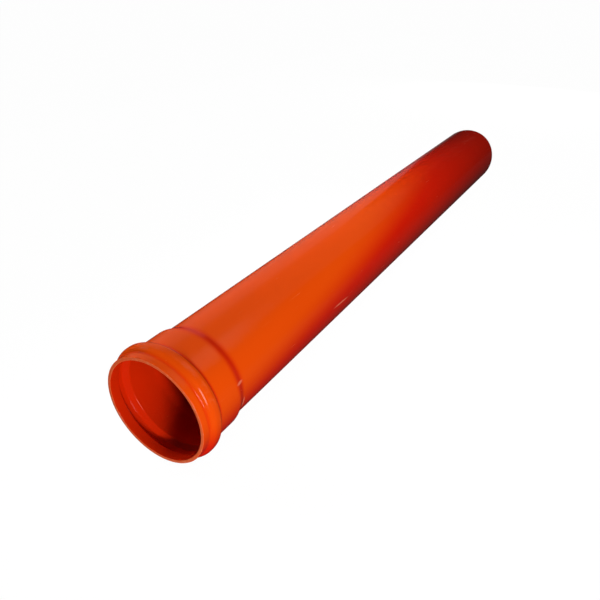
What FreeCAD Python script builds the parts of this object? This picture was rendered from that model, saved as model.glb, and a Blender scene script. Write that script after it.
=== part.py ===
"""PVC-U sewer pipe with a ring-seal socket, nominal size 110, one metre long overall.

The pipe is one piece. A straight tube is extruded, and one end is then heated and formed over a
mandrel into the socket: from the mouth inwards it has a short entry lip, a rolled bead whose
inside is the groove for the sealing ring, a plain barrel that guides the next pipe's spigot, and
a cone that comes down to the tube. The other end, the spigot, is cut square and chamfered so
that it slides through a ring.

The whole solid is one closed outline turned about the pipe's axis. It lies along X with the
socket mouth at -X and the spigot at +X. The origin is under the middle of its length, on the
level of the lowest line of the bead, with +Z up. All sizes are in millimetres.
"""

import FreeCAD, Part
import math
import os

# --- driving dimensions -------------------------------------------------------------------

# Tube
OVERALL_LENGTH = 1000.0     # socket mouth to spigot end
PIPE_DIAMETER = 110.0       # outside of the tube and of the spigot
PIPE_WALL = 3.2             # stiffness class SN 4

# Spigot chamfer
CHAMFER_LENGTH = 6.0        # measured along the pipe
CHAMFER_ANGLE = 15.0        # degrees from the axis

# Inside of the socket, lengths along the pipe as the mandrel shapes it, from the mouth inwards
ENTRY_LENGTH = 11.0         # lip's bore, mouth to groove
GROOVE_FRONT = 3.5          # front flank of the ring groove
GROOVE_FLOOR = 6.0          # floor of the groove
GROOVE_BACK = 4.5           # back flank of the groove
GUIDE_LENGTH = 34.0         # plain barrel between the groove and the spigot's stop
CONE_LENGTH = 9.0           # cone from the barrel down to the tube

# Inside of the socket, sizes across the pipe
SPIGOT_CLEARANCE = 0.2      # radial play between a spigot and the barrel's bore
LIP_CLEARANCE = 0.6         # radial play between a spigot and the lip's bore
GROOVE_DEPTH = 5.6          # from the barrel's bore to the floor of the groove

# Walls of the socket
LIP_WALL = 3.7              # a little upset as the tube is pushed over the mandrel
BEAD_WALL = 2.7             # drawn out most
BARREL_WALL = 3.0           # a little drawn out
FLANK_SHIFT = 1.8           # the bead's shoulders lie this far outside the groove's, along the pipe
HEEL_SHIFT = 2.5            # the same for the corner between the bead and the barrel

# Rounding radii
EDGE_RADIUS = 0.8           # edges of the mouth, broken by deburring
LIP_BLEND = 3.0             # hollow between lip and bead
CREST_BLEND = 8.0           # shoulders of the bead
HEEL_BLEND = 4.0            # hollow between bead and barrel
GROOVE_BLEND = 2.0          # edges and corners of the ring groove
CONE_BLEND = 14.0           # both ends of the cone

# --- derived places -----------------------------------------------------------------------

pipe_radius = PIPE_DIAMETER / 2
bore_radius = pipe_radius - PIPE_WALL
barrel_bore = pipe_radius + SPIGOT_CLEARANCE
barrel_radius = barrel_bore + BARREL_WALL
lip_bore = pipe_radius + LIP_CLEARANCE
lip_radius = lip_bore + LIP_WALL
groove_radius = barrel_bore + GROOVE_DEPTH
bead_radius = groove_radius + BEAD_WALL

floor_start = ENTRY_LENGTH + GROOVE_FRONT
floor_end = floor_start + GROOVE_FLOOR
guide_start = floor_end + GROOVE_BACK
stop = guide_start + GUIDE_LENGTH           # where a spigot's end comes to rest
cone_end = stop + CONE_LENGTH

chamfer_depth = CHAMFER_LENGTH * math.tan(math.radians(CHAMFER_ANGLE))


def outer_corners():
    """Corners of the outside, mouth to spigot: distance from the mouth, radius, rounding."""
    return [
        (0.0, lip_radius, EDGE_RADIUS),
        (ENTRY_LENGTH - FLANK_SHIFT, lip_radius, LIP_BLEND),
        (floor_start - FLANK_SHIFT, bead_radius, CREST_BLEND),
        (floor_end + FLANK_SHIFT, bead_radius, CREST_BLEND),
        (guide_start + HEEL_SHIFT, barrel_radius, HEEL_BLEND),
        (stop, barrel_radius, CONE_BLEND),
        (cone_end, pipe_radius, CONE_BLEND),
        (OVERALL_LENGTH - CHAMFER_LENGTH, pipe_radius, 0.0),
        (OVERALL_LENGTH, pipe_radius - chamfer_depth, 0.0),
    ]


def inner_corners():
    """Corners of the inside, spigot back to mouth, in the same form."""
    return [
        (OVERALL_LENGTH, bore_radius, 0.0),
        (cone_end, bore_radius, CONE_BLEND),
        (stop, barrel_bore, CONE_BLEND),
        (guide_start, barrel_bore, GROOVE_BLEND),
        (floor_end, groove_radius, GROOVE_BLEND),
        (floor_start, groove_radius, GROOVE_BLEND),
        (ENTRY_LENGTH, lip_bore, GROOVE_BLEND),
        (0.0, lip_bore, EDGE_RADIUS),
    ]


def rounded_outline(corners):
    """Closed wire through the corners in the XZ plane, each corner eased by its radius."""
    points = [FreeCAD.Vector(x, 0, r) for x, r, _ in corners]
    count = len(points)
    arcs = []
    for i, (here, corner) in enumerate(zip(points, corners)):
        back = (points[i - 1] - here).normalize()
        ahead = (points[(i + 1) % count] - here).normalize()
        radius = corner[2]
        half_angle = back.getAngle(ahead) / 2
        if radius == 0:
            arcs.append((here, None, here))
            continue
        reach = radius / math.tan(half_angle)
        centre = here + (back + ahead).normalize() * (radius / math.sin(half_angle))
        middle = centre + (here - centre).normalize() * radius
        arcs.append((here + back * reach, middle, here + ahead * reach))
    edges = []
    for i, (start, middle, end) in enumerate(arcs):
        if middle is not None:
            edges.append(Part.Arc(start, middle, end).toShape())
        edges.append(Part.LineSegment(end, arcs[(i + 1) % count][0]).toShape())
    return Part.Wire(edges)


def make_pipe():
    """The turned solid, laid along X with its middle over the origin and its bead on the floor."""
    section = Part.Face(rounded_outline(outer_corners() + inner_corners()))
    pipe = section.revolve(FreeCAD.Vector(0, 0, 0), FreeCAD.Vector(1, 0, 0), 360)
    pipe.translate(FreeCAD.Vector(-OVERALL_LENGTH / 2, 0, bead_radius))
    return pipe


def main():
    os.makedirs("parts", exist_ok=True)
    pipe = make_pipe()
    pipe.exportStep("parts/pipe.step")
    box = pipe.optimalBoundingBox(False)
    print(f"pipe: valid {pipe.isValid()}, solids {len(pipe.Solids)}, volume {pipe.Volume:.0f} mm3")
    print(f"box: {box.XLength:.2f} x {box.YLength:.2f} x {box.ZLength:.2f} mm")


main()
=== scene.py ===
# %% [markdown]
# # A PVC-U sewer pipe with a ring-seal socket
#
# The real pipe is one piece. An extruder pushes hot PVC through a ring-shaped die, and the tube
# is cooled, sawn to length and chamfered at one end. The other end is heated again and pushed
# over a mandrel, which opens it into a socket: an entry lip, a bead that holds a rubber ring, a
# plain barrel and a short cone. Everything below follows those steps, because each of them
# leaves a mark on the surface: lines from the die, rings from the mandrel, teeth marks from the
# saw.
#
# The lesson starts by loading the measured model. It fixes the size and the place of the pipe,
# and its box gives the mouth and the height of the axis.

# %% Load the measured model
import math

import bpy
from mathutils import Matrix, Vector


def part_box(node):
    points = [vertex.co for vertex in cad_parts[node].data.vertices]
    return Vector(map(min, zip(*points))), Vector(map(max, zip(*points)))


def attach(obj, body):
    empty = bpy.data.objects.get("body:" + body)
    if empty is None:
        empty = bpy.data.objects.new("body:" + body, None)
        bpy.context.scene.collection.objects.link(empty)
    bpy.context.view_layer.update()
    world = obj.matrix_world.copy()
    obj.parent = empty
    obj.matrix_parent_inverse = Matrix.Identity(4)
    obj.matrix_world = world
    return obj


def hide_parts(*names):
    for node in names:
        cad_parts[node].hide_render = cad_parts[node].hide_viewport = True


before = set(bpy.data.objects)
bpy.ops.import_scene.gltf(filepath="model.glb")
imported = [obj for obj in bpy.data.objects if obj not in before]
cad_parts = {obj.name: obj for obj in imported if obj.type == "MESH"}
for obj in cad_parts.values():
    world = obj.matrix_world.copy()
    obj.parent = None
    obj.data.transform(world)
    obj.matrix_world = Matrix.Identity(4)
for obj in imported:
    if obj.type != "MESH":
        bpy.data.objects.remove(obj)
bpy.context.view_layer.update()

print("CAD nodes:", sorted(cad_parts))

# %% [markdown]
# ## Sizes
#
# A turned or extruded part is best described by its outline, half a section through the axis.
# The sizes are the usual ones of a 110 mm sewer pipe. They are written in millimetres, as a
# maker would, and one factor turns them into Blender's metres. The axis height is read from the
# measured model: half its height is the radius of the bead, which lies on the floor.

# %% Sizes of the pipe, in millimetres
MM = 0.001

PIPE_LENGTH = 1000.0
PIPE_RADIUS = 55.0
BORE_RADIUS = 51.8
LIP_RADIUS = 59.3
LIP_BORE = 55.6
BEAD_RADIUS = 63.5
GROOVE_RADIUS = 60.8
BARREL_RADIUS = 58.2
BARREL_BORE = 55.2

# Distances from the mouth
BARREL_END = 59.0
CONE_END = 68.0

CHAMFER_LENGTH = 6.0
CHAMFER_DEPTH = 1.608

lowest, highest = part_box("pipe")
mouth_x = lowest.x
axis_z = (lowest.z + highest.z) / 2
print(f"mouth at x = {mouth_x:.4f} m, axis at z = {axis_z:.4f} m")

# %% [markdown]
# ## The outline
#
# Each corner of the outline is a distance from the mouth, a radius, and the rounding of that
# corner. Hot plastic can't be folded sharply over a mandrel, so the corners of the socket are
# all eased, those of the bead more on the outside than on the inside. The saw and the
# chamfering knife leave nearly sharp edges, which a scraper then breaks by less than a
# millimetre. Those tiny roundings matter: they are what catches the light along an edge.

# %% Corners of the outline: distance from the mouth, radius, rounding
outside_corners = [
    (0.0, LIP_RADIUS, 0.8),
    (9.2, LIP_RADIUS, 3.0),
    (12.7, BEAD_RADIUS, 8.0),
    (22.3, BEAD_RADIUS, 8.0),
    (27.5, BARREL_RADIUS, 4.0),
    (BARREL_END, BARREL_RADIUS, 14.0),
    (CONE_END, PIPE_RADIUS, 14.0),
    (PIPE_LENGTH - CHAMFER_LENGTH, PIPE_RADIUS, 0.9),
    (PIPE_LENGTH, PIPE_RADIUS - CHAMFER_DEPTH, 0.3),
]
inside_corners = [
    (PIPE_LENGTH, BORE_RADIUS, 0.25),
    (CONE_END, BORE_RADIUS, 14.0),
    (BARREL_END, BARREL_BORE, 14.0),
    (25.0, BARREL_BORE, 2.0),
    (20.5, GROOVE_RADIUS, 2.0),
    (14.5, GROOVE_RADIUS, 2.0),
    (11.0, LIP_BORE, 2.0),
    (0.0, LIP_BORE, 0.8),
]
print(len(outside_corners) + len(inside_corners), "corners in the closed outline")

# %% [markdown]
# Blender could round the corners with a Bevel modifier, but then every corner would take the
# same radius. Working the arcs out is only a little trigonometry: the arc's centre lies on the
# line that halves the corner, and the arc touches both sides. Long straight runs also get
# stations along them, so that the faces stay reasonably square and shade evenly.

# %% Round the corners and divide the runs
ARC_STEP = math.radians(6.0)
LONGEST_RUN = 12.0


def corner_arc(before, here, after, radius):
    """Points of the arc that rounds the corner at here."""
    back = (before - here).normalized()
    ahead = (after - here).normalized()
    half_angle = back.angle(ahead) / 2
    turn = math.pi - 2 * half_angle
    reach = radius / math.tan(half_angle)
    centre = here + (back + ahead).normalized() * radius / math.sin(half_angle)
    start = here + back * reach - centre
    side = math.copysign(1, back.x * ahead.y - back.y * ahead.x)
    steps = max(3, math.ceil(turn / ARC_STEP))
    arc = []
    for k in range(steps + 1):
        angle = -side * turn * k / steps
        cosine = math.cos(angle)
        sine = math.sin(angle)
        x = start.x * cosine - start.y * sine
        y = start.x * sine + start.y * cosine
        arc.append(centre + Vector((x, y)))
    return arc


def rounded_outline(corners):
    """Points of the closed outline, each corner replaced by an arc of its own radius."""
    spots = [Vector((x, r)) for x, r, _ in corners]
    arcs = []
    for i, (_, _, radius) in enumerate(corners):
        after = spots[(i + 1) % len(spots)]
        arcs.append(corner_arc(spots[i - 1], spots[i], after, radius))
    points = []
    for i, arc in enumerate(arcs):
        points += arc
        gap = arcs[(i + 1) % len(arcs)][0] - arc[-1]
        pieces = math.ceil(gap.length / LONGEST_RUN)
        points += [arc[-1] + gap * k / pieces for k in range(1, pieces)]
    return points


outline = rounded_outline(outside_corners + inside_corners)
print(len(outline), "points round the outline")

# %% [markdown]
# ## Turning the outline into a pipe
#
# The Spin tool would do it, but building the rings by hand gives three things at once: exact
# vertices, a UV map that unrolls the wall like a sheet, and a place to add the slight
# imperfections of a real tube. No extruded pipe is perfectly round. It leaves the cooling bath a
# little oval, and the hot socket settles a little as it cools. The deviations here only go
# inwards and stay under a fifth of a millimetre, which nobody sees as shape, but which bends the
# reflections along the wall as they bend on real plastic.

# %% How far the wall sinks, in millimetres
OVAL_DEPTH = 0.05
SWELL_DEPTH = 0.02
SAG_DEPTH = 0.03
SAG_LENGTH = 75.0


def settled(x, angle):
    """How far the wall has sunk from the true circle. The bare numbers only place the waves."""
    oval = OVAL_DEPTH * (1 + math.cos(2 * angle + 0.9 + 0.0012 * x))
    swell = SWELL_DEPTH * (1 + math.sin(x / 61.0 + 1.7 * math.sin(angle)))
    in_socket = max(0.0, 1 - x / SAG_LENGTH)
    sag = SAG_DEPTH * in_socket * (1 + math.sin(5 * angle + 0.5) * math.sin(3 * angle))
    return oval + swell + sag


print(f"sunk at the top of the mouth: {settled(0.0, 0.0):.3f} mm")

# %% [markdown]
# Every point of the outline becomes a ring of vertices, and every step between two points a ring
# of faces. Face i * SEGMENTS + j belongs to step i of the outline, which is how the UV map and
# the finishes find their faces later.

# %% Rings round the axis
SEGMENTS = 288


def ring_place(x, radius, angle):
    """A point of the wall in metres. The angle runs from +Z towards +Y."""
    r = radius - settled(x, angle)
    return (
        mouth_x + x * MM,
        r * MM * math.sin(angle),
        axis_z + r * MM * math.cos(angle),
    )


places = []
for point in outline:
    for j in range(SEGMENTS):
        places.append(ring_place(point.x, point.y, 2 * math.pi * j / SEGMENTS))

faces = []
for i in range(len(outline)):
    after = (i + 1) % len(outline)
    for j in range(SEGMENTS):
        beside = (j + 1) % SEGMENTS
        faces.append((
            i * SEGMENTS + j,
            after * SEGMENTS + j,
            after * SEGMENTS + beside,
            i * SEGMENTS + beside,
        ))

pipe_mesh = bpy.data.meshes.new("socketed_pipe")
pipe_mesh.from_pydata(places, [], faces)
pipe_mesh.shade_smooth()
pipe_mesh.set_sharp_from_angle(angle=math.radians(25))
pipe = bpy.data.objects.new("socketed_pipe", pipe_mesh)
bpy.context.scene.collection.objects.link(pipe)
print(f"{len(places)} vertices, {2 * len(faces)} triangles")

# %% [markdown]
# ## The unrolled UV map
#
# The wall unrolls into one long strip: the way walked along the outline is one direction, and
# the way round the pipe the other. The strip is cut into four rows to fill the square. That
# gives the way along the outline about three times the detail of the way round, which suits the
# marks: the finest ones, the saw's rings, follow each other along the outline. The patterns
# themselves don't use this map: they are worked out from places in space, so they have no seam.

# %% Unroll the wall
ROWS = 4
LEFT_MARGIN = 0.005
ROW_WIDTH = 0.9408
ROW_MARGIN = 0.01

walked = [0.0]
for i in range(len(outline)):
    step = (outline[(i + 1) % len(outline)] - outline[i]).length
    walked.append(walked[-1] + step)
row_length = walked[-1] / ROWS
row_height = 1 / ROWS

unrolled = pipe_mesh.uv_layers.new(name="OFBake")
for face in pipe_mesh.polygons:
    i, j = divmod(face.index, SEGMENTS)
    row = min(ROWS - 1, int(walked[i] / row_length))
    along = [walked[i], walked[i + 1], walked[i + 1], walked[i]]
    round_it = [j, j, j + 1, j + 1]
    for corner, a, b in zip(face.loop_indices, along, round_it):
        u = LEFT_MARGIN + (a / row_length - row) * ROW_WIDTH
        v = row * row_height + ROW_MARGIN + b / SEGMENTS * (row_height - 2 * ROW_MARGIN)
        unrolled.data[corner].uv = (u, v)
print(f"outline walked: {walked[-1]:.0f} mm, {ROWS} rows of {row_length:.0f} mm")

# %% [markdown]
# ## Colours and nodes
#
# Colours are picked as sRGB hex values, as a paint chart gives them, but a shader needs linear
# light. One function does that. Another adds a node with its settings and its links in one call,
# which keeps the recipes below short enough to read.

# %% Two helpers for all the finishes


def linear(hex_colour):
    """An sRGB colour such as "#E24A06" as linear red, green, blue, alpha."""
    shares = [int(hex_colour[i:i + 2], 16) / 255 for i in (1, 3, 5)]
    return tuple(
        s / 12.92 if s <= 0.04045 else ((s + 0.055) / 1.055) ** 2.4 for s in shares
    ) + (1.0,)


def add_node(tree, kind, settings=None, inputs=None):
    """Adds a node. An input's value is either a number or another node's output socket."""
    node = tree.nodes.new(kind)
    for name, value in (settings or {}).items():
        setattr(node, name, value)
    for name, value in (inputs or {}).items():
        if isinstance(value, bpy.types.NodeSocket):
            tree.links.new(value, node.inputs[name])
        else:
            node.inputs[name].default_value = value
    return node


print("orange brown in linear light:", [round(v, 3) for v in linear("#E24A06")])

# %% [markdown]
# ## Where on the pipe?
#
# All the finishes ask the same questions: how far is this spot from the mouth and from the axis,
# how far above the axis, and how far to the side? Object coordinates answer them in metres. The
# answers drive masks, such as "socket only" or "crest of the bead only", and patterns that run
# in rings.

# %% Where a spot lies on the pipe


def pipe_places(tree):
    """Sockets for the place itself and for the four distances, by name."""
    coordinates = add_node(tree, "ShaderNodeTexCoord")
    place = coordinates.outputs["Object"]
    parts = add_node(tree, "ShaderNodeSeparateXYZ", None, {"Vector": place})
    from_mouth = add_node(tree, "ShaderNodeMath", {"operation": "SUBTRACT"}, {
        0: parts.outputs["X"],
        1: mouth_x,
    })
    above_axis = add_node(tree, "ShaderNodeMath", {"operation": "SUBTRACT"}, {
        0: parts.outputs["Z"],
        1: axis_z,
    })
    across = add_node(tree, "ShaderNodeCombineXYZ", None, {
        "X": 0.0,
        "Y": parts.outputs["Y"],
        "Z": above_axis.outputs[0],
    })
    from_axis = add_node(tree, "ShaderNodeVectorMath", {"operation": "LENGTH"}, {
        0: across.outputs[0],
    })
    return {
        "place": place,
        "from_mouth": from_mouth.outputs[0],
        "from_axis": from_axis.outputs["Value"],
        "above_axis": above_axis.outputs[0],
        "to_side": parts.outputs["Y"],
    }


def socket_only(tree, from_mouth):
    """Mask of the part that the mandrel has formed. It fades out over the cone and just past."""
    return add_node(tree, "ShaderNodeMapRange", {"interpolation_type": "SMOOTHSTEP"}, {
        "Value": from_mouth,
        "From Min": 85 * MM,
        "From Max": 55 * MM,
    }).outputs[0]


def new_finish(name):
    """An empty material with a Principled shader. Returns the material, its tree, the shader."""
    material = bpy.data.materials.new(name)
    material.use_nodes = True
    tree = material.node_tree
    tree.nodes.clear()
    shader = add_node(tree, "ShaderNodeBsdfPrincipled")
    add_node(tree, "ShaderNodeOutputMaterial", None, {"Surface": shader.outputs[0]})
    return material, tree, shader


print("helpers ready")

# %% [markdown]
# ## The skin: extruded PVC-U
#
# PVC-U is rigid PVC with no plasticiser. It is opaque, coloured right through with an orange
# brown pigment, and has the gloss of a polished die: a refractive index of about 1.53 and a
# roughness near 0.15. Four things go into its colour and surface:
#
# - painted light and shade: the top of the socket's half is a purer, lit orange, while the
#   flanks and the far end are painted a deeper red, painted shade where less light falls;
# - the pigment isn't spread quite evenly, so the orange drifts over some 7 cm;
# - the die draws fine lines along the tube, about 4 mm apart. The real ones are partly finer,
#   and are drawn as coarse as this so that they show at all;
# - the cooled surface has a faint orange peel, some 5 mm from dimple to dimple.
#
# First the painted light and shade. Two things shade a spot: how far along the pipe it lies and
# how far below the top of the tube. A millimetre down counts as much as nine millimetres along.

# %% Painted light and shade on the skin
LIT_ORANGE = "#E54A04"
PAINTED_SHADE_RED = "#D60E02"
PVC_IOR = 1.53
DOWN_AGAINST_ALONG = 9.0
FADE_START = 0.42
FADE_END = 0.77

skin, tree, shader = new_finish("extruded_pvc_skin")
skin_at = pipe_places(tree)

below_top = add_node(tree, "ShaderNodeMath", {"operation": "SUBTRACT"}, {
    0: PIPE_RADIUS * MM,
    1: skin_at["above_axis"],
})
in_shade = add_node(tree, "ShaderNodeMath", {"operation": "MULTIPLY_ADD"}, {
    0: below_top.outputs[0],
    1: DOWN_AGAINST_ALONG,
    2: skin_at["from_mouth"],
})
# Painted shade: the colour turns to the deep red further along the pipe and lower on its flanks.
painted_shade_mask = add_node(tree, "ShaderNodeMapRange", {"interpolation_type": "SMOOTHSTEP"}, {
    "Value": in_shade.outputs[0],
    "From Min": FADE_START,
    "From Max": FADE_END,
})
print("skin: daylight")

# %% [markdown]
# The socket is the same skin, heated and stretched. The hollow behind the lip, the heel of the
# bead and the cone each get a soft band of the deeper red: painted shade in the hollows and on
# the cone, where less light reaches. A band is the distance from one ring round the pipe,
# turned into a mask.

# %% Painted shade in the socket's hollows


def hollow_shade_band(middle, half_width, strength):
    """Mask of a ring round the pipe, so many millimetres from the mouth."""
    off = add_node(tree, "ShaderNodeMath", {"operation": "SUBTRACT"}, {
        0: skin_at["from_mouth"],
        1: middle * MM,
    })
    apart = add_node(tree, "ShaderNodeMath", {"operation": "ABSOLUTE"}, {0: off.outputs[0]})
    return add_node(tree, "ShaderNodeMapRange", {"interpolation_type": "SMOOTHSTEP"}, {
        "Value": apart.outputs[0],
        "From Min": half_width * MM,
        "From Max": 0.0,
        "To Max": strength,
    }).outputs[0]


# Painted shade: the deeper red along the pipe, raised in three bands in the socket's hollows and
# cone.
painted_shade_share = painted_shade_mask.outputs[0]
for middle, half_width, strength in (
    (64.0, 10.0, 0.85),
    (27.0, 4.0, 0.85),
    (8.6, 2.6, 0.45),
):
    painted_shade_share = add_node(tree, "ShaderNodeMath", {"operation": "MAXIMUM"}, {
        0: painted_shade_share,
        1: hollow_shade_band(middle, half_width, strength),
    }).outputs[0]
print("skin: heated hollows")

# %% [markdown]
# Then the pigment. A slow noise picks a paler or a richer orange, and a tenth of it is mixed
# into the colour with its painted light and shade.

# %% Pigment of the skin
PIGMENT_POOR = "#EC5A14"
PIGMENT_RICH = "#D83C02"
PIGMENT_CLOUDS_PER_METRE = 14.0
PIGMENT_SHARE = 0.10

# Painted light and shade: the lit orange where the mask is 0, the painted shade's red where it
# is 1.
painted_shading = add_node(tree, "ShaderNodeMix", {"data_type": "RGBA"}, {
    0: painted_shade_share,
    6: linear(LIT_ORANGE),
    7: linear(PAINTED_SHADE_RED),
})
pigment = add_node(tree, "ShaderNodeTexNoise", None, {
    "Vector": skin_at["place"],
    "Scale": PIGMENT_CLOUDS_PER_METRE,
    "Detail": 3.0,
    "Roughness": 0.55,
})
pigment_tint = add_node(tree, "ShaderNodeMix", {"data_type": "RGBA"}, {
    0: pigment.outputs[0],
    6: linear(PIGMENT_RICH),
    7: linear(PIGMENT_POOR),
})
pigmented = add_node(tree, "ShaderNodeMix", {"data_type": "RGBA"}, {
    0: PIGMENT_SHARE,
    6: painted_shading.outputs[2],
    7: pigment_tint.outputs[2],
})
print("skin: pigment")

# %% [markdown]
# A die line is long one way and short the other, so its noise is squeezed: the place is scaled
# by 1.5 along the pipe and by 250, one over 4 mm, across it. No angle is needed, because the
# noise fills space and the wall simply cuts through it. The mandrel's rings are noise along one
# number only, the distance from the mouth, at 3.5 mm a ring. On the socket they take over from
# the die lines.

# %% Die lines, mandrel rings, orange peel
DIE_LINE = 4.0
MANDREL_RING = 3.5
PEEL_DIMPLE = 5.0

die_stretch = add_node(tree, "ShaderNodeMapping", {"vector_type": "POINT"}, {
    "Vector": skin_at["place"],
    "Scale": (1.5, 1 / (DIE_LINE * MM), 1 / (DIE_LINE * MM)),
})
die_lines = add_node(tree, "ShaderNodeTexNoise", None, {
    "Vector": die_stretch.outputs[0],
    "Scale": 1.0,
    "Detail": 4.0,
    "Roughness": 0.62,
})
ring_count = add_node(tree, "ShaderNodeMath", {"operation": "MULTIPLY"}, {
    0: skin_at["from_mouth"],
    1: 1 / (MANDREL_RING * MM),
})
mandrel_rings = add_node(tree, "ShaderNodeTexNoise", {"noise_dimensions": "1D"}, {
    "W": ring_count.outputs[0],
    "Scale": 1.0,
    "Detail": 2.0,
})
lines_or_rings = add_node(tree, "ShaderNodeMix", {"data_type": "FLOAT"}, {
    0: socket_only(tree, skin_at["from_mouth"]),
    2: die_lines.outputs[0],
    3: mandrel_rings.outputs[0],
})
orange_peel = add_node(tree, "ShaderNodeTexNoise", None, {
    "Vector": skin_at["place"],
    "Scale": 1 / (PEEL_DIMPLE * MM),
    "Detail": 1.5,
})
print("skin: lines, rings and peel")

# %% [markdown]
# Wear: pipes are slid along each other, so the scuffs are thin strokes that run lengthwise, a
# few centimetres long and well apart. The noise is stretched again, and only its highest peaks
# are kept. The bead's crest is what touches the floor and the next pipe in a stack, so it is
# rubbed in patches. It is found from its radius. Rubbed plastic is paler and duller than the
# skin round it, because the scratches scatter light.

# %% Scuffs and the rubbed crest
RUBBED_PALE = "#E87A4C"
CREST_DEPTH = 0.55
RUB_PATCHES_PER_METRE = 90.0
WORN_SHARE = 0.30

scuff_stretch = add_node(tree, "ShaderNodeMapping", {"vector_type": "POINT"}, {
    "Vector": skin_at["place"],
    "Location": (0.31, 0.17, 0.05),
    "Rotation": (0.0, 0.05, 0.07),
    "Scale": (26.0, 700.0, 700.0),
})
scuff_noise = add_node(tree, "ShaderNodeTexNoise", None, {
    "Vector": scuff_stretch.outputs[0],
    "Scale": 1.0,
    "Detail": 1.0,
})
scuffs = add_node(tree, "ShaderNodeMapRange", None, {
    "Value": scuff_noise.outputs[0],
    "From Min": 0.745,
    "From Max": 0.83,
})
on_crest = add_node(tree, "ShaderNodeMapRange", {"interpolation_type": "SMOOTHSTEP"}, {
    "Value": skin_at["from_axis"],
    "From Min": (BEAD_RADIUS - CREST_DEPTH) * MM,
    "From Max": BEAD_RADIUS * MM,
})
rub_noise = add_node(tree, "ShaderNodeTexNoise", None, {
    "Vector": skin_at["place"],
    "Scale": RUB_PATCHES_PER_METRE,
    "Detail": 5.0,
    "Roughness": 0.7,
})
rub_patches = add_node(tree, "ShaderNodeMapRange", None, {
    "Value": rub_noise.outputs[0],
    "From Min": 0.50,
    "From Max": 0.72,
})
rubbed = add_node(tree, "ShaderNodeMath", {"operation": "MULTIPLY"}, {
    0: on_crest.outputs[0],
    1: rub_patches.outputs[0],
})
worn = add_node(tree, "ShaderNodeMath", {"operation": "MAXIMUM"}, {
    0: scuffs.outputs[0],
    1: rubbed.outputs[0],
})
worn_share = add_node(tree, "ShaderNodeMath", {"operation": "MULTIPLY"}, {
    0: worn.outputs[0],
    1: WORN_SHARE,
})
worn_colour = add_node(tree, "ShaderNodeMix", {"data_type": "RGBA"}, {
    0: worn_share.outputs[0],
    6: pigmented.outputs[2],
    7: linear(RUBBED_PALE),
})
print("skin: wear")

# %% [markdown]
# Three painted highlights stand out on one flank: a pale stroke along the tube, and two short
# glints at the foot of the cone, painted reflections of a small lamp. Each has a place of its
# own, so it isn't left to noise. The wall is thought of as unrolled, with the distance from the
# mouth one way and the way round the pipe the other, and each painted highlight is a soft, slim
# ellipse on that sheet.

# %% Painted highlights: a stroke and two glints
GLINT_PINK = "#FF8C6A"
GLINT_SHARE = 0.70

angle_round = add_node(tree, "ShaderNodeMath", {"operation": "ARCTAN2"}, {
    0: skin_at["to_side"],
    1: skin_at["above_axis"],
})
way_round = add_node(tree, "ShaderNodeMath", {"operation": "MULTIPLY"}, {
    0: angle_round.outputs[0],
    1: PIPE_RADIUS * MM,
})
sheet = add_node(tree, "ShaderNodeCombineXYZ", None, {
    "X": skin_at["from_mouth"],
    "Y": way_round.outputs[0],
    "Z": 0.0,
})


def slim_glint(middle, half_size, slant):
    """Mask of one painted highlight on the unrolled wall, in millimetres; the slant is in
    degrees.
    """
    onto_mark = add_node(tree, "ShaderNodeMapping", {"vector_type": "TEXTURE"}, {
        "Vector": sheet.outputs[0],
        "Location": (middle[0] * MM, middle[1] * MM, 0.0),
        "Rotation": (0.0, 0.0, math.radians(slant)),
        "Scale": (half_size[0] * MM, half_size[1] * MM, 1.0),
    })
    outwards = add_node(tree, "ShaderNodeVectorMath", {"operation": "LENGTH"}, {
        0: onto_mark.outputs[0],
    })
    return add_node(tree, "ShaderNodeMapRange", {"interpolation_type": "SMOOTHSTEP"}, {
        "Value": outwards.outputs["Value"],
        "From Min": 1.0,
        "From Max": 0.3,
    }).outputs[0]


# Painted highlights: pale glints placed where a lamp's reflection falls on the flank.
stroke_glint = slim_glint((282.0, -87.4), (25.0, 1.8), -3.0)
upper_glint = slim_glint((64.0, -70.7), (7.5, 2.2), -7.0)
lower_glint = slim_glint((69.0, -99.0), (2.4, 9.5), -8.0)
cone_glints = add_node(tree, "ShaderNodeMath", {"operation": "MAXIMUM"}, {
    0: upper_glint,
    1: lower_glint,
})
glints = add_node(tree, "ShaderNodeMath", {"operation": "MAXIMUM"}, {
    0: stroke_glint,
    1: cone_glints.outputs[0],
})
glints_share = add_node(tree, "ShaderNodeMath", {"operation": "MULTIPLY"}, {
    0: glints.outputs[0],
    1: GLINT_SHARE,
})
skin_colour = add_node(tree, "ShaderNodeMix", {"data_type": "RGBA"}, {
    0: glints_share.outputs[0],
    6: worn_colour.outputs[2],
    7: linear(GLINT_PINK),
})
print("skin: three marks")

# %% [markdown]
# The relief is added up in metres and turned into a normal by one Bump node: two hundredths of
# a millimetre for the lines and rings, one hundredth for the peel. The gloss varies with the
# pigment and drops where the skin is worn.

# %% Relief and gloss of the skin
LINE_HEIGHT = 0.022
PEEL_HEIGHT = 0.012
WORN_ROUGHNESS = 0.22

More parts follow.
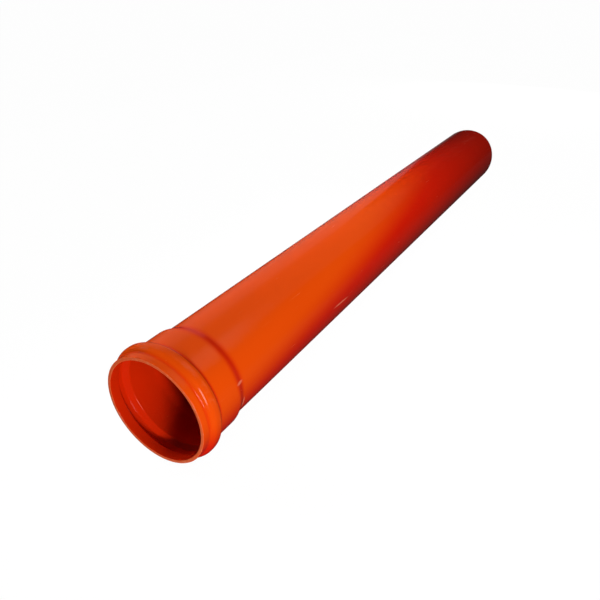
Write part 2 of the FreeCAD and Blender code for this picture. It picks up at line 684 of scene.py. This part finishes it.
line_height = add_node(tree, "ShaderNodeMath", {"operation": "MULTIPLY"}, {
    0: lines_or_rings.outputs[0],
    1: LINE_HEIGHT * MM,
})
skin_height = add_node(tree, "ShaderNodeMath", {"operation": "MULTIPLY_ADD"}, {
    0: orange_peel.outputs[0],
    1: PEEL_HEIGHT * MM,
    2: line_height.outputs[0],
})
skin_relief = add_node(tree, "ShaderNodeBump", None, {
    "Strength": 1.0,
    "Distance": 1.0,
    "Height": skin_height.outputs[0],
})
gloss_drift = add_node(tree, "ShaderNodeMapRange", None, {
    "Value": pigment.outputs[0],
    "From Min": 0.3,
    "From Max": 0.7,
    "To Min": 0.11,
    "To Max": 0.17,
})
skin_roughness = add_node(tree, "ShaderNodeMath", {"operation": "MULTIPLY_ADD"}, {
    0: worn.outputs[0],
    1: WORN_ROUGHNESS,
    2: gloss_drift.outputs[0],
})
tree.links.new(skin_colour.outputs[2], shader.inputs["Base Color"])
tree.links.new(skin_roughness.outputs[0], shader.inputs["Roughness"])
tree.links.new(skin_relief.outputs[0], shader.inputs["Normal"])
shader.inputs["IOR"].default_value = PVC_IOR
print("skin: relief and gloss")

# %% [markdown]
# ## The bore
#
# The inside of the tube never touches a polished sleeve: it slides off the die's core and cools
# in air, so it is a little duller and its lines are deeper. In the socket the mandrel has
# pressed it smooth again, with rings at right angles to the old lines.

# %% Lines and rings of the bore
BORE_LINES_PER_METRE = 210.0
BORE_RING = 2.5

bore, tree, shader = new_finish("mandrel_formed_pvc_bore")
bore_at = pipe_places(tree)

bore_stretch = add_node(tree, "ShaderNodeMapping", {"vector_type": "POINT"}, {
    "Vector": bore_at["place"],
    "Scale": (1.2, BORE_LINES_PER_METRE, BORE_LINES_PER_METRE),
})
bore_lines = add_node(tree, "ShaderNodeTexNoise", None, {
    "Vector": bore_stretch.outputs[0],
    "Scale": 1.0,
    "Detail": 4.0,
    "Roughness": 0.65,
})
bore_ring_count = add_node(tree, "ShaderNodeMath", {"operation": "MULTIPLY"}, {
    0: bore_at["from_mouth"],
    1: 1 / (BORE_RING * MM),
})
bore_rings = add_node(tree, "ShaderNodeTexNoise", {"noise_dimensions": "1D"}, {
    "W": bore_ring_count.outputs[0],
    "Scale": 1.0,
    "Detail": 2.0,
})
bore_formed = socket_only(tree, bore_at["from_mouth"])
bore_pattern = add_node(tree, "ShaderNodeMix", {"data_type": "FLOAT"}, {
    0: bore_formed,
    2: bore_lines.outputs[0],
    3: bore_rings.outputs[0],
})
print("bore: lines and rings")

# %% [markdown]
# The pigment drifts here too, a little faster than outside. Past the socket the tube's bore is
# painted the deepest red of all, painted shade for the dark inside of the tube.

# %% Pigment of the bore
BORE_ORANGE = "#D62A03"
BORE_DEEP = "#CA2002"
BORE_SHADE_RED = "#A01000"
BORE_CLOUDS_PER_METRE = 18.0

bore_pigment = add_node(tree, "ShaderNodeTexNoise", None, {
    "Vector": bore_at["place"],
    "Scale": BORE_CLOUDS_PER_METRE,
    "Detail": 3.0,
})
bore_tint = add_node(tree, "ShaderNodeMix", {"data_type": "RGBA"}, {
    0: bore_pigment.outputs[0],
    6: linear(BORE_DEEP),
    7: linear(BORE_ORANGE),
})
# Painted shade: past the socket the bore turns to a much deeper red.
shaded_bore_tint = add_node(tree, "ShaderNodeMix", {"data_type": "RGBA"}, {
    0: bore_formed,
    6: linear(BORE_SHADE_RED),
    7: bore_tint.outputs[2],
})
print("bore: pigment")

# %% [markdown]
# The saw leaves a fine dust of PVC inside. It falls to the lower side, so a mask by height keeps
# it there. It is a noise of fine grains, cut off so that only the peaks are left.

# %% Saw dust in the bore
SAW_DUST = "#E8A083"
DUST_GRAIN = 1.4
DUST_SHARE = 0.18

dust_grains = add_node(tree, "ShaderNodeTexNoise", None, {
    "Vector": bore_at["place"],
    "Scale": 1 / (DUST_GRAIN * MM),
    "Detail": 3.0,
    "Roughness": 0.75,
})
dust_spots = add_node(tree, "ShaderNodeMapRange", None, {
    "Value": dust_grains.outputs[0],
    "From Min": 0.60,
    "From Max": 0.78,
})
low_side = add_node(tree, "ShaderNodeMapRange", {"interpolation_type": "SMOOTHSTEP"}, {
    "Value": bore_at["above_axis"],
    "From Min": -20 * MM,
    "From Max": -50 * MM,
})
dust = add_node(tree, "ShaderNodeMath", {"operation": "MULTIPLY"}, {
    0: dust_spots.outputs[0],
    1: low_side.outputs[0],
})
dust_share = add_node(tree, "ShaderNodeMath", {"operation": "MULTIPLY"}, {
    0: dust.outputs[0],
    1: DUST_SHARE,
})
bore_colour = add_node(tree, "ShaderNodeMix", {"data_type": "RGBA"}, {
    0: dust_share.outputs[0],
    6: shaded_bore_tint.outputs[2],
    7: linear(SAW_DUST),
})
print("bore: saw dust")

# %% [markdown]
# The lines are about half as deep again as outside. The tube's bore is the dull part, the
# socket's the smooth one, and dust takes a little off the gloss of both.

# %% Relief and gloss of the bore
BORE_HEIGHT = 0.035
TUBE_ROUGHNESS = 0.26
SOCKET_ROUGHNESS = 0.15
DUST_ROUGHNESS = 0.25

bore_height = add_node(tree, "ShaderNodeMath", {"operation": "MULTIPLY"}, {
    0: bore_pattern.outputs[0],
    1: BORE_HEIGHT * MM,
})
bore_relief = add_node(tree, "ShaderNodeBump", None, {
    "Strength": 1.0,
    "Distance": 1.0,
    "Height": bore_height.outputs[0],
})
bore_gloss = add_node(tree, "ShaderNodeMapRange", None, {
    "Value": bore_formed,
    "To Min": TUBE_ROUGHNESS,
    "To Max": SOCKET_ROUGHNESS,
})
bore_roughness = add_node(tree, "ShaderNodeMath", {"operation": "MULTIPLY_ADD"}, {
    0: dust.outputs[0],
    1: DUST_ROUGHNESS,
    2: bore_gloss.outputs[0],
})
tree.links.new(bore_colour.outputs[2], shader.inputs["Base Color"])
tree.links.new(bore_roughness.outputs[0], shader.inputs["Roughness"])
tree.links.new(bore_relief.outputs[0], shader.inputs["Normal"])
shader.inputs["IOR"].default_value = PVC_IOR
print("bore: relief and gloss")

# %% [markdown]
# ## The cut ends
#
# A saw that circles the tube cuts both ends, and a knife turns the chamfer. Cut PVC has no skin:
# it is dull, paler than the wall, almost salmon, and covered in fine rings from the teeth. Real
# rings are about 0.2 mm apart. They are drawn at 0.6 mm here, about as fine as a render can
# show. A few deeper teeth marks and a whitish burr break the evenness.

# %% Colour of the cut ends
CUT_SALMON = "#EC5E2C"
CUT_BURR = "#F29A72"
TOOTH_MARK = 3.0

cut, tree, shader = new_finish("sawn_pvc_edge")
cut_at = pipe_places(tree)

teeth = add_node(tree, "ShaderNodeTexNoise", None, {
    "Vector": cut_at["place"],
    "Scale": 1 / (TOOTH_MARK * MM),
    "Detail": 4.0,
    "Roughness": 0.7,
})
burr = add_node(tree, "ShaderNodeMapRange", None, {
    "Value": teeth.outputs[0],
    "From Min": 0.52,
    "From Max": 0.75,
    "To Min": 0.05,
    "To Max": 0.75,
})
cut_colour = add_node(tree, "ShaderNodeMix", {"data_type": "RGBA"}, {
    0: burr.outputs[0],
    6: linear(CUT_SALMON),
    7: linear(CUT_BURR),
})
print("cut ends: colour")

# %% [markdown]
# The saw's rings follow each other across the flat of an end, the knife's along the chamfer. The
# distances from the mouth and from the axis, added up, change along both, so one noise along
# that sum draws the rings on either.

# %% Saw rings, relief and gloss of the cut ends
SAW_RING = 0.6
TOOTH_SHARE = 0.6
SAW_HEIGHT = 0.05

saw_travel = add_node(tree, "ShaderNodeMath", {"operation": "ADD"}, {
    0: cut_at["from_mouth"],
    1: cut_at["from_axis"],
})
saw_count = add_node(tree, "ShaderNodeMath", {"operation": "MULTIPLY"}, {
    0: saw_travel.outputs[0],
    1: 1 / (SAW_RING * MM),
})
saw_rings = add_node(tree, "ShaderNodeTexNoise", {"noise_dimensions": "1D"}, {
    "W": saw_count.outputs[0],
    "Scale": 1.0,
    "Detail": 3.0,
    "Roughness": 0.7,
})
cut_pattern = add_node(tree, "ShaderNodeMath", {"operation": "MULTIPLY_ADD"}, {
    0: teeth.outputs[0],
    1: TOOTH_SHARE,
    2: saw_rings.outputs[0],
})
cut_height = add_node(tree, "ShaderNodeMath", {"operation": "MULTIPLY"}, {
    0: cut_pattern.outputs[0],
    1: SAW_HEIGHT * MM,
})
cut_relief = add_node(tree, "ShaderNodeBump", None, {
    "Strength": 1.0,
    "Distance": 1.0,
    "Height": cut_height.outputs[0],
})
cut_roughness = add_node(tree, "ShaderNodeMapRange", None, {
    "Value": saw_rings.outputs[0],
    "From Min": 0.3,
    "From Max": 0.7,
    "To Min": 0.36,
    "To Max": 0.52,
})
tree.links.new(cut_colour.outputs[2], shader.inputs["Base Color"])
tree.links.new(cut_roughness.outputs[0], shader.inputs["Roughness"])
tree.links.new(cut_relief.outputs[0], shader.inputs["Normal"])
shader.inputs["IOR"].default_value = PVC_IOR
print("cut ends: rings, relief and gloss")

# %% [markdown]
# ## Giving each face its finish
#
# One piece, three finishes. Each face belongs to a step of the outline, and the step's middle
# says where it lies: on the flat of either end or on the chamfer it is cut. Otherwise it is skin
# up to the point where the outline turns inwards at the spigot's end, and bore from there back
# to the mouth.

# %% Finish of each face
SKIN = 0
BORE = 1
CUT = 2
for finish in (skin, bore, cut):
    pipe_mesh.materials.append(finish)

MOUTH_FLAT = 0.25
CHAMFER_START = PIPE_LENGTH - CHAMFER_LENGTH + 0.15
SPIGOT_FLAT = PIPE_LENGTH - 0.1

# The point furthest from the mouth, and of several such points the one nearest the axis
turning_point = max(
    range(len(outline)),
    key=lambda i: (round(outline[i].x, 6), -outline[i].y),
)


def finish_of_step(i):
    """The finish that step i of the outline gets."""
    middle = (outline[i] + outline[(i + 1) % len(outline)]) / 2
    outside = i <= turning_point
    on_flat = middle.x < MOUTH_FLAT or middle.x > SPIGOT_FLAT
    on_chamfer = outside and middle.x > CHAMFER_START
    if on_flat or on_chamfer:
        return CUT
    return SKIN if outside else BORE


step_finishes = [finish_of_step(i) for i in range(len(outline))]
for face in pipe_mesh.polygons:
    face.material_index = step_finishes[face.index // SEGMENTS]
counts = [step_finishes.count(kind) for kind in (SKIN, BORE, CUT)]
print("steps of the outline as skin, bore, cut:", counts)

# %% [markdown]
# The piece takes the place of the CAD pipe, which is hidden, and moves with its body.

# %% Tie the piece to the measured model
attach(pipe, "root")
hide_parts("pipe")
print("the visual pipe stands for the CAD node pipe")

# %% [markdown]
# ## The floor
#
# A pale studio floor. The pipe touches it at two places only: the lowest line of the bead, and
# the lowest point of the spigot, which is 8.5 mm nearer the axis. So the floor is tipped by half
# a degree, which stands for the half degree by which the real pipe leans.

# %% Floor, tipped to meet bead and spigot
FLOOR_SIZE = 40.0
FLOOR_GAP = 0.3
BEAD_LINE = 17.5
SPIGOT_LINE = 993.5

bead_x = mouth_x + BEAD_LINE * MM
spigot_x = mouth_x + SPIGOT_LINE * MM
drop = (BEAD_RADIUS - PIPE_RADIUS) * MM
lean = math.atan2(drop, spigot_x - bead_x)

half = FLOOR_SIZE / 2
floor_mesh = bpy.data.meshes.new("studio_floor")
floor_mesh.from_pydata(
    [(-half, -half, 0), (half, -half, 0), (half, half, 0), (-half, half, 0)],
    [],
    [(0, 1, 2, 3)],
)
floor = bpy.data.objects.new("studio_floor", floor_mesh)
floor.location = (bead_x, 0, -FLOOR_GAP * MM)
floor.rotation_euler = (0, -lean, 0)
bpy.context.scene.collection.objects.link(floor)
print(f"floor leans {math.degrees(lean):.2f} degrees")

# %% [markdown]
# To the camera the floor adds a glow of its own, which makes it near white without another lamp,
# while its matt grey part still takes the pipe's shadow. Glass would see that glow in full.
# Gloss gets a small share of it: at a glancing angle plastic mirrors nearly everything, and a
# floor as white as this would turn the deep red flanks milky. The world beyond the floor does
# the same, so one function serves both.

# %% White paper on the floor
GLOSS_SHARE = 0.01
PAPER_GREY = 0.03
PAPER_GLOW = 0.985
WHITE = (1.0, 1.0, 1.0, 1.0)


def glow_for_rays(tree, ray):
    """Full glow for camera and glass, GLOSS_SHARE of it for gloss, none for anything else."""
    clear_rays = add_node(tree, "ShaderNodeMath", {"operation": "ADD"}, {
        0: ray.outputs["Is Camera Ray"],
        1: ray.outputs["Is Transmission Ray"],
    })
    return add_node(tree, "ShaderNodeMath", {"operation": "MULTIPLY_ADD"}, {
        0: ray.outputs["Is Glossy Ray"],
        1: GLOSS_SHARE,
        2: clear_rays.outputs[0],
    }).outputs[0]


floor_paper = bpy.data.materials.new("matt_white_paper")
floor_paper.use_nodes = True
tree = floor_paper.node_tree
tree.nodes.clear()
ray = add_node(tree, "ShaderNodeLightPath")
glow_strength = add_node(tree, "ShaderNodeMath", {"operation": "MULTIPLY"}, {
    0: glow_for_rays(tree, ray),
    1: PAPER_GLOW,
})
paper_glow = add_node(tree, "ShaderNodeEmission", None, {
    "Color": WHITE,
    "Strength": glow_strength.outputs[0],
})
paper_matt = add_node(tree, "ShaderNodeBsdfDiffuse", None, {
    "Color": (PAPER_GREY, PAPER_GREY, PAPER_GREY, 1.0),
})
paper = add_node(tree, "ShaderNodeAddShader", None, {
    0: paper_glow.outputs[0],
    1: paper_matt.outputs[0],
})
add_node(tree, "ShaderNodeOutputMaterial", None, {"Surface": paper.outputs[0]})
floor_mesh.materials.append(floor_paper)
print("floor papered")

# %% [markdown]
# ## The world
#
# White where the camera looks past the floor, and for gloss and glass what the floor gives
# them. A dim even grey falls on everything, so that no shadow is quite black.

# %% World
WORLD_GREY = 0.02

world = bpy.data.worlds.new("white_studio")
world.use_nodes = True
bpy.context.scene.world = world
tree = world.node_tree
tree.nodes.clear()
ray = add_node(tree, "ShaderNodeLightPath")
world_strength = add_node(tree, "ShaderNodeMath", {"operation": "MULTIPLY_ADD"}, {
    0: ray.outputs["Is Diffuse Ray"],
    1: WORLD_GREY,
    2: glow_for_rays(tree, ray),
})
background = add_node(tree, "ShaderNodeBackground", None, {
    "Color": WHITE,
    "Strength": world_strength.outputs[0],
})
add_node(tree, "ShaderNodeOutputWorld", None, {"Surface": background.outputs[0]})
print("world ready")

# %% [markdown]
# ## Lamps
#
# Soft lamps, none of them coloured, and each with one task:
#
# - the key softbox hangs over the socket's half of the pipe, a little to the near side, so that
#   the wall gets darker towards the spigot;
# - the gridded strip lies along the far side. Its grid keeps the light narrow, so it lifts the
#   back of the socket and leaves the spigot dark;
# - the front strip stands low before the mouth and reaches into the socket;
# - the streak softbox is small and dim, and leaves two short streaks on the bead, one where it
#   swells out of the lip and one where it rounds over;
# - the end fill shows the spigot's cut end to anyone who walks round.
#
# A lamp's power is worked out from the brightness wanted on a white card at its distance. Only
# the streak softbox shows in the gloss. The others are kept out of it, as a studio hides its
# lamps with flags.

# %% Softboxes and strips
KEY_TURN = -24
GRID_TURN = 60


def area_lamp(name, place, target, width, height, in_gloss):
    """A rectangular lamp that faces the target. Its power is set by the caller."""
    lamp = bpy.data.lights.new(name, "AREA")
    lamp.shape = "RECTANGLE"
    lamp.size = width
    lamp.size_y = height
    item = bpy.data.objects.new(name, lamp)
    item.location = place
    item.rotation_euler = (target - place).to_track_quat("-Z", "Y").to_euler()
    item.visible_glossy = in_gloss
    item.visible_camera = False
    bpy.context.scene.collection.objects.link(item)
    return lamp


def softbox(name, place, target, width, height, card, in_gloss=False):
    """A lamp that lights a white card at the target to the given brightness."""
    lamp = area_lamp(name, place, target, width, height, in_gloss)
    distance = (target - place).length
    lamp.energy = card * math.pi ** 2 * distance ** 2
    print(f"{name}: {lamp.energy:.1f} W at {distance:.2f} m")
    return lamp


def turned_from_top(degrees):
    """The way straight out from the axis, turned from +Z towards +Y."""
    turn = math.radians(degrees)
    return Vector((0.0, math.sin(turn), math.cos(turn)))


mouth_middle = Vector((mouth_x, 0, axis_z))
spigot_middle = mouth_middle + Vector((PIPE_LENGTH * MM, 0, 0))

key_foot = mouth_middle + Vector((0.45, 0, 0))
key_place = key_foot + turned_from_top(KEY_TURN) * 0.62
key_aim = key_foot + Vector((0.05, 0, 0))
softbox("key_softbox", key_place, key_aim, width=0.40, height=0.40, card=0.72)

grid_foot = mouth_middle + Vector((0.30, 0, 0))
grid_place = grid_foot + turned_from_top(GRID_TURN) * 0.60
gridded = softbox("gridded_strip", grid_place, grid_foot, width=0.90, height=0.25, card=0.25)
gridded.spread = math.radians(45)

front_place = mouth_middle + Vector((-0.59, -0.80, 0.05)).normalized()
softbox("front_strip", front_place, mouth_middle, width=0.30, height=0.14, card=0.96)

streak_place = mouth_middle + Vector((-0.40, -0.87, 0.28)).normalized()
softbox(
    "streak_softbox", streak_place, mouth_middle,
    width=0.22, height=0.42, card=0.15, in_gloss=True,
)

end_place = spigot_middle + Vector((0.97, 0.12, 0.22)).normalized() * 1.2
softbox("end_fill", end_place, spigot_middle, width=0.40, height=0.40, card=0.35)

# %% [markdown]
# Gloss mirrors what stands round the pipe, so it is given something to mirror: three wide white
# panels, one behind, one lying beside the pipe and one above. They are dim, and they lie in the
# gloss as one long pale band.

# %% White panels for the gloss
PANEL_NEAR = 0.15
PANEL_FAR = 2.9
PANEL_Y = 1.20
PANEL_LIGHT = 0.14
STANDING_HEIGHT = 1.60
LYING_DEPTH = 1.0
CEILING_DEPTH = 2.1


def white_panel(name, y, z, facing, depth, share):
    """A wide even panel, as bright all over as a card lit to this share of PANEL_LIGHT."""
    width = PANEL_FAR - PANEL_NEAR
    middle = Vector(((PANEL_NEAR + PANEL_FAR) / 2, y, z))
    lamp = area_lamp(name, middle, middle + facing, width, depth, in_gloss=True)
    lamp.energy = share * PANEL_LIGHT * math.pi * width * depth
    print(f"{name}: {lamp.energy:.2f} W over {width:.2f} x {depth:.2f} m")


white_panel(
    "standing_panel", PANEL_Y, STANDING_HEIGHT / 2,
    facing=Vector((0, -1, 0)), depth=STANDING_HEIGHT, share=1.0,
)
white_panel(
    "lying_card", PANEL_Y - LYING_DEPTH / 2, 0.03,
    facing=Vector((0, 0, 1)), depth=LYING_DEPTH, share=0.6,
)
white_panel(
    "ceiling_panel", 0.15, 1.5,
    facing=Vector((0, 0, -1)), depth=CEILING_DEPTH, share=0.35,
)

# %% [markdown]
# ## Camera
#
# The camera stands near the mouth, above and to one side, and looks along the pipe, so that the
# far end looks small. Its place is measured from the middle of the mouth. The lens is shifted a
# little, as on a view camera, to set the pipe in the frame.

# %% Camera
CAMERA_FROM_MOUTH = Vector((-0.2772, -0.3032, 0.3492))
CAMERA_TURN = 32.95
CAMERA_DIP = 34.06
LENS = 33.61
SENSOR = 36.0
SHIFT_ACROSS = 0.0595
SHIFT_UP = 0.0685

lens = bpy.data.cameras.new("camera")
lens.lens = LENS
lens.sensor_width = SENSOR
lens.shift_x = SHIFT_ACROSS
lens.shift_y = SHIFT_UP
lens.clip_start = 0.01
lens.clip_end = 100.0
camera = bpy.data.objects.new("camera", lens)
camera.location = mouth_middle + CAMERA_FROM_MOUTH
camera.rotation_euler = (
    math.radians(90 - CAMERA_DIP),
    0.0,
    math.radians(CAMERA_TURN - 90),
)
bpy.context.scene.collection.objects.link(camera)
bpy.context.scene.camera = camera
bpy.context.scene.view_settings.view_transform = "Standard"
print("camera at", [round(value, 3) for value in camera.location])
